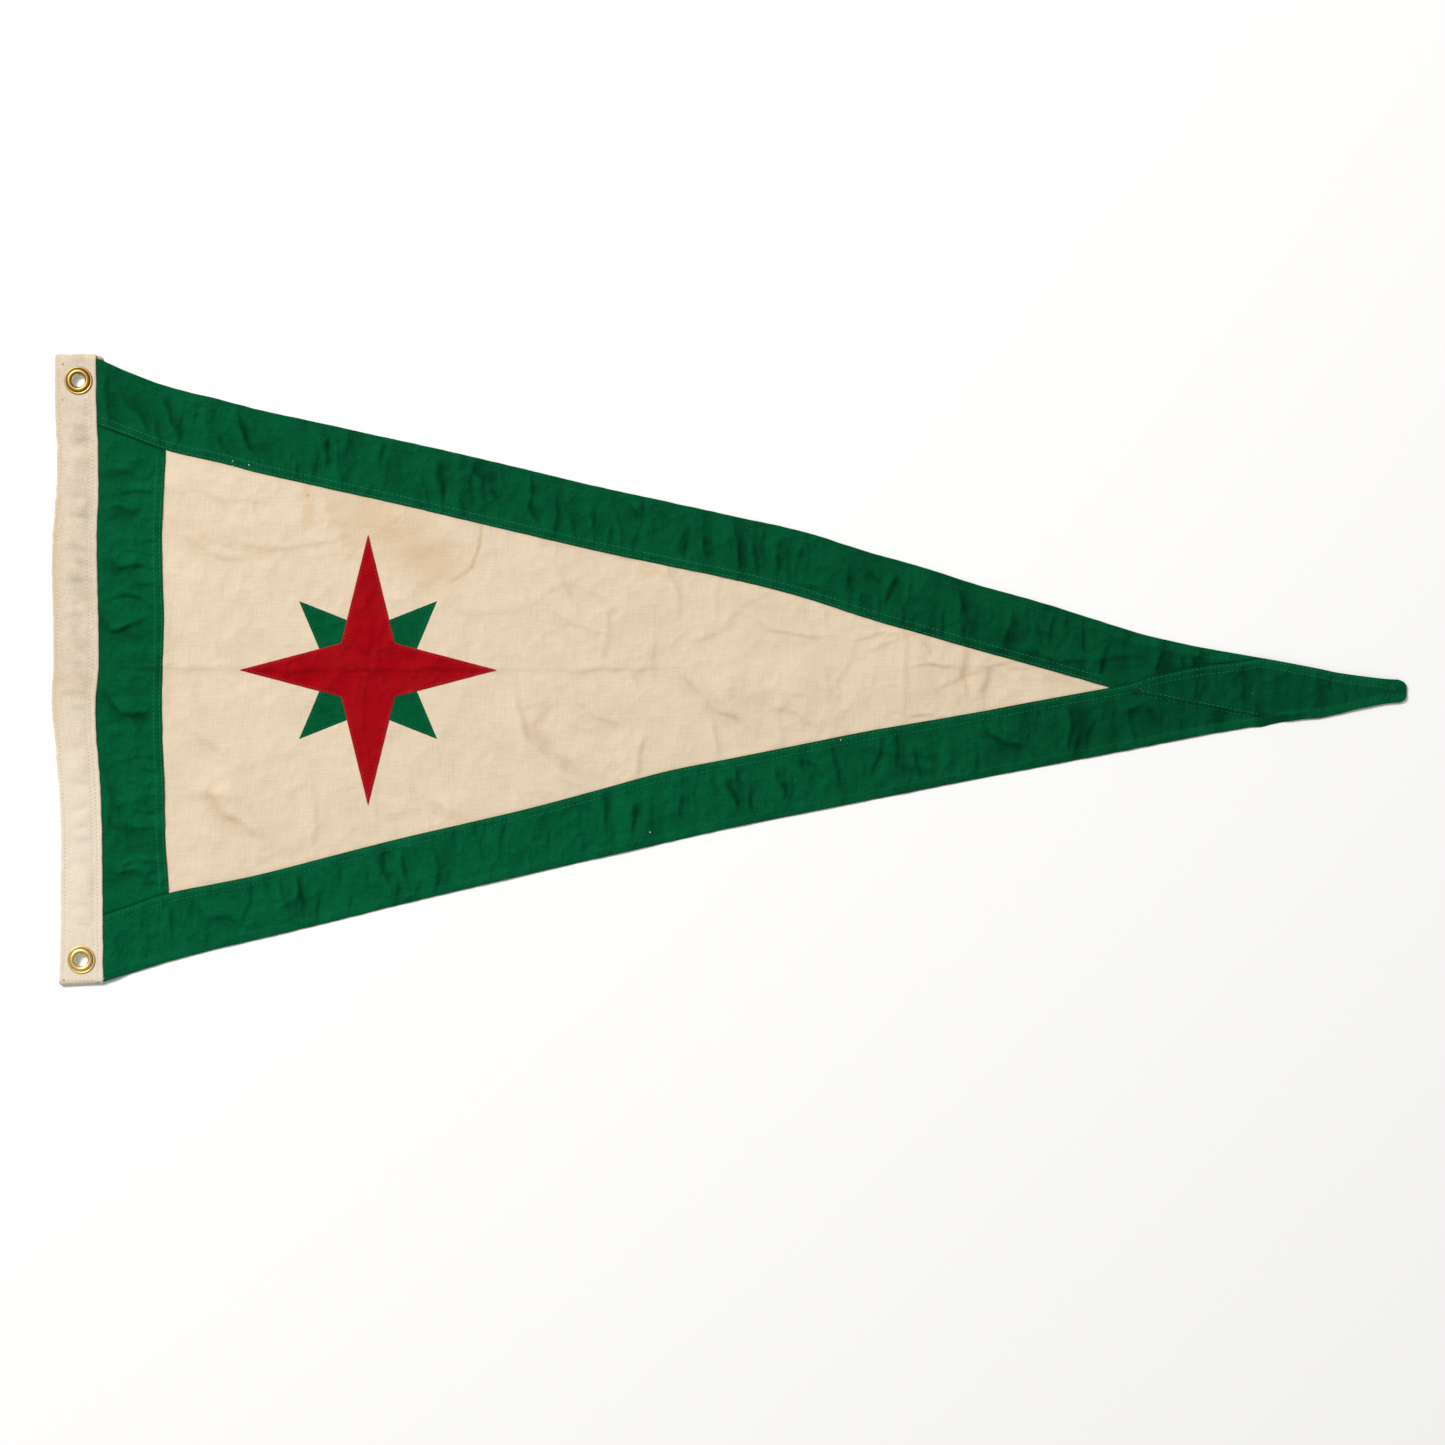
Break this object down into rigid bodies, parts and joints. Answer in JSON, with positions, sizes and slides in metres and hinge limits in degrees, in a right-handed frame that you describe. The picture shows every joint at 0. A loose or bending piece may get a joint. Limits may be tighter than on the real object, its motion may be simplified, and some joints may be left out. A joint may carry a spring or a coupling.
{
  "type": "pennant flag",
  "caption": "Long pennant flag with a pale field, green strips round it, a folded heading with eyelets, and a sewn compass star.",
  "frame": {"origin": "middle of the flag's outline, on the surface that it lies on", "axes": "+X along the flag from the heading to the fly, +Y up the hoist, +Z out of the face that is seen"},
  "size_m": [1.0016, 0.4664, 0.0066],
  "materials": {
    "white_cotton": "unbleached plain weave cotton, creased and a little stained",
    "green_cotton": "deep green plain weave cotton with green topstitching",
    "heading_canvas": "natural canvas with rows of stitches",
    "red_cotton": "red plain weave cotton patch",
    "green_patch": "deep green plain weave cotton patch",
    "eyelet_brass": "aged brass, worn bright on the roll"
  },
  "bodies": {
    "root": {"white_field": "white_cotton", "hoist_border": "green_cotton", "upper_border": "green_cotton", "lower_border": "green_cotton", "heading": "heading_canvas", "star_red": "red_cotton", "star_green_1": "green_patch", "star_green_2": "green_patch", "star_green_3": "green_patch", "star_green_4": "green_patch", "eyelet_upper": "eyelet_brass", "eyelet_lower": "eyelet_brass", "washer_upper": "eyelet_brass", "washer_lower": "eyelet_brass"}
  },
  "joints": []
}
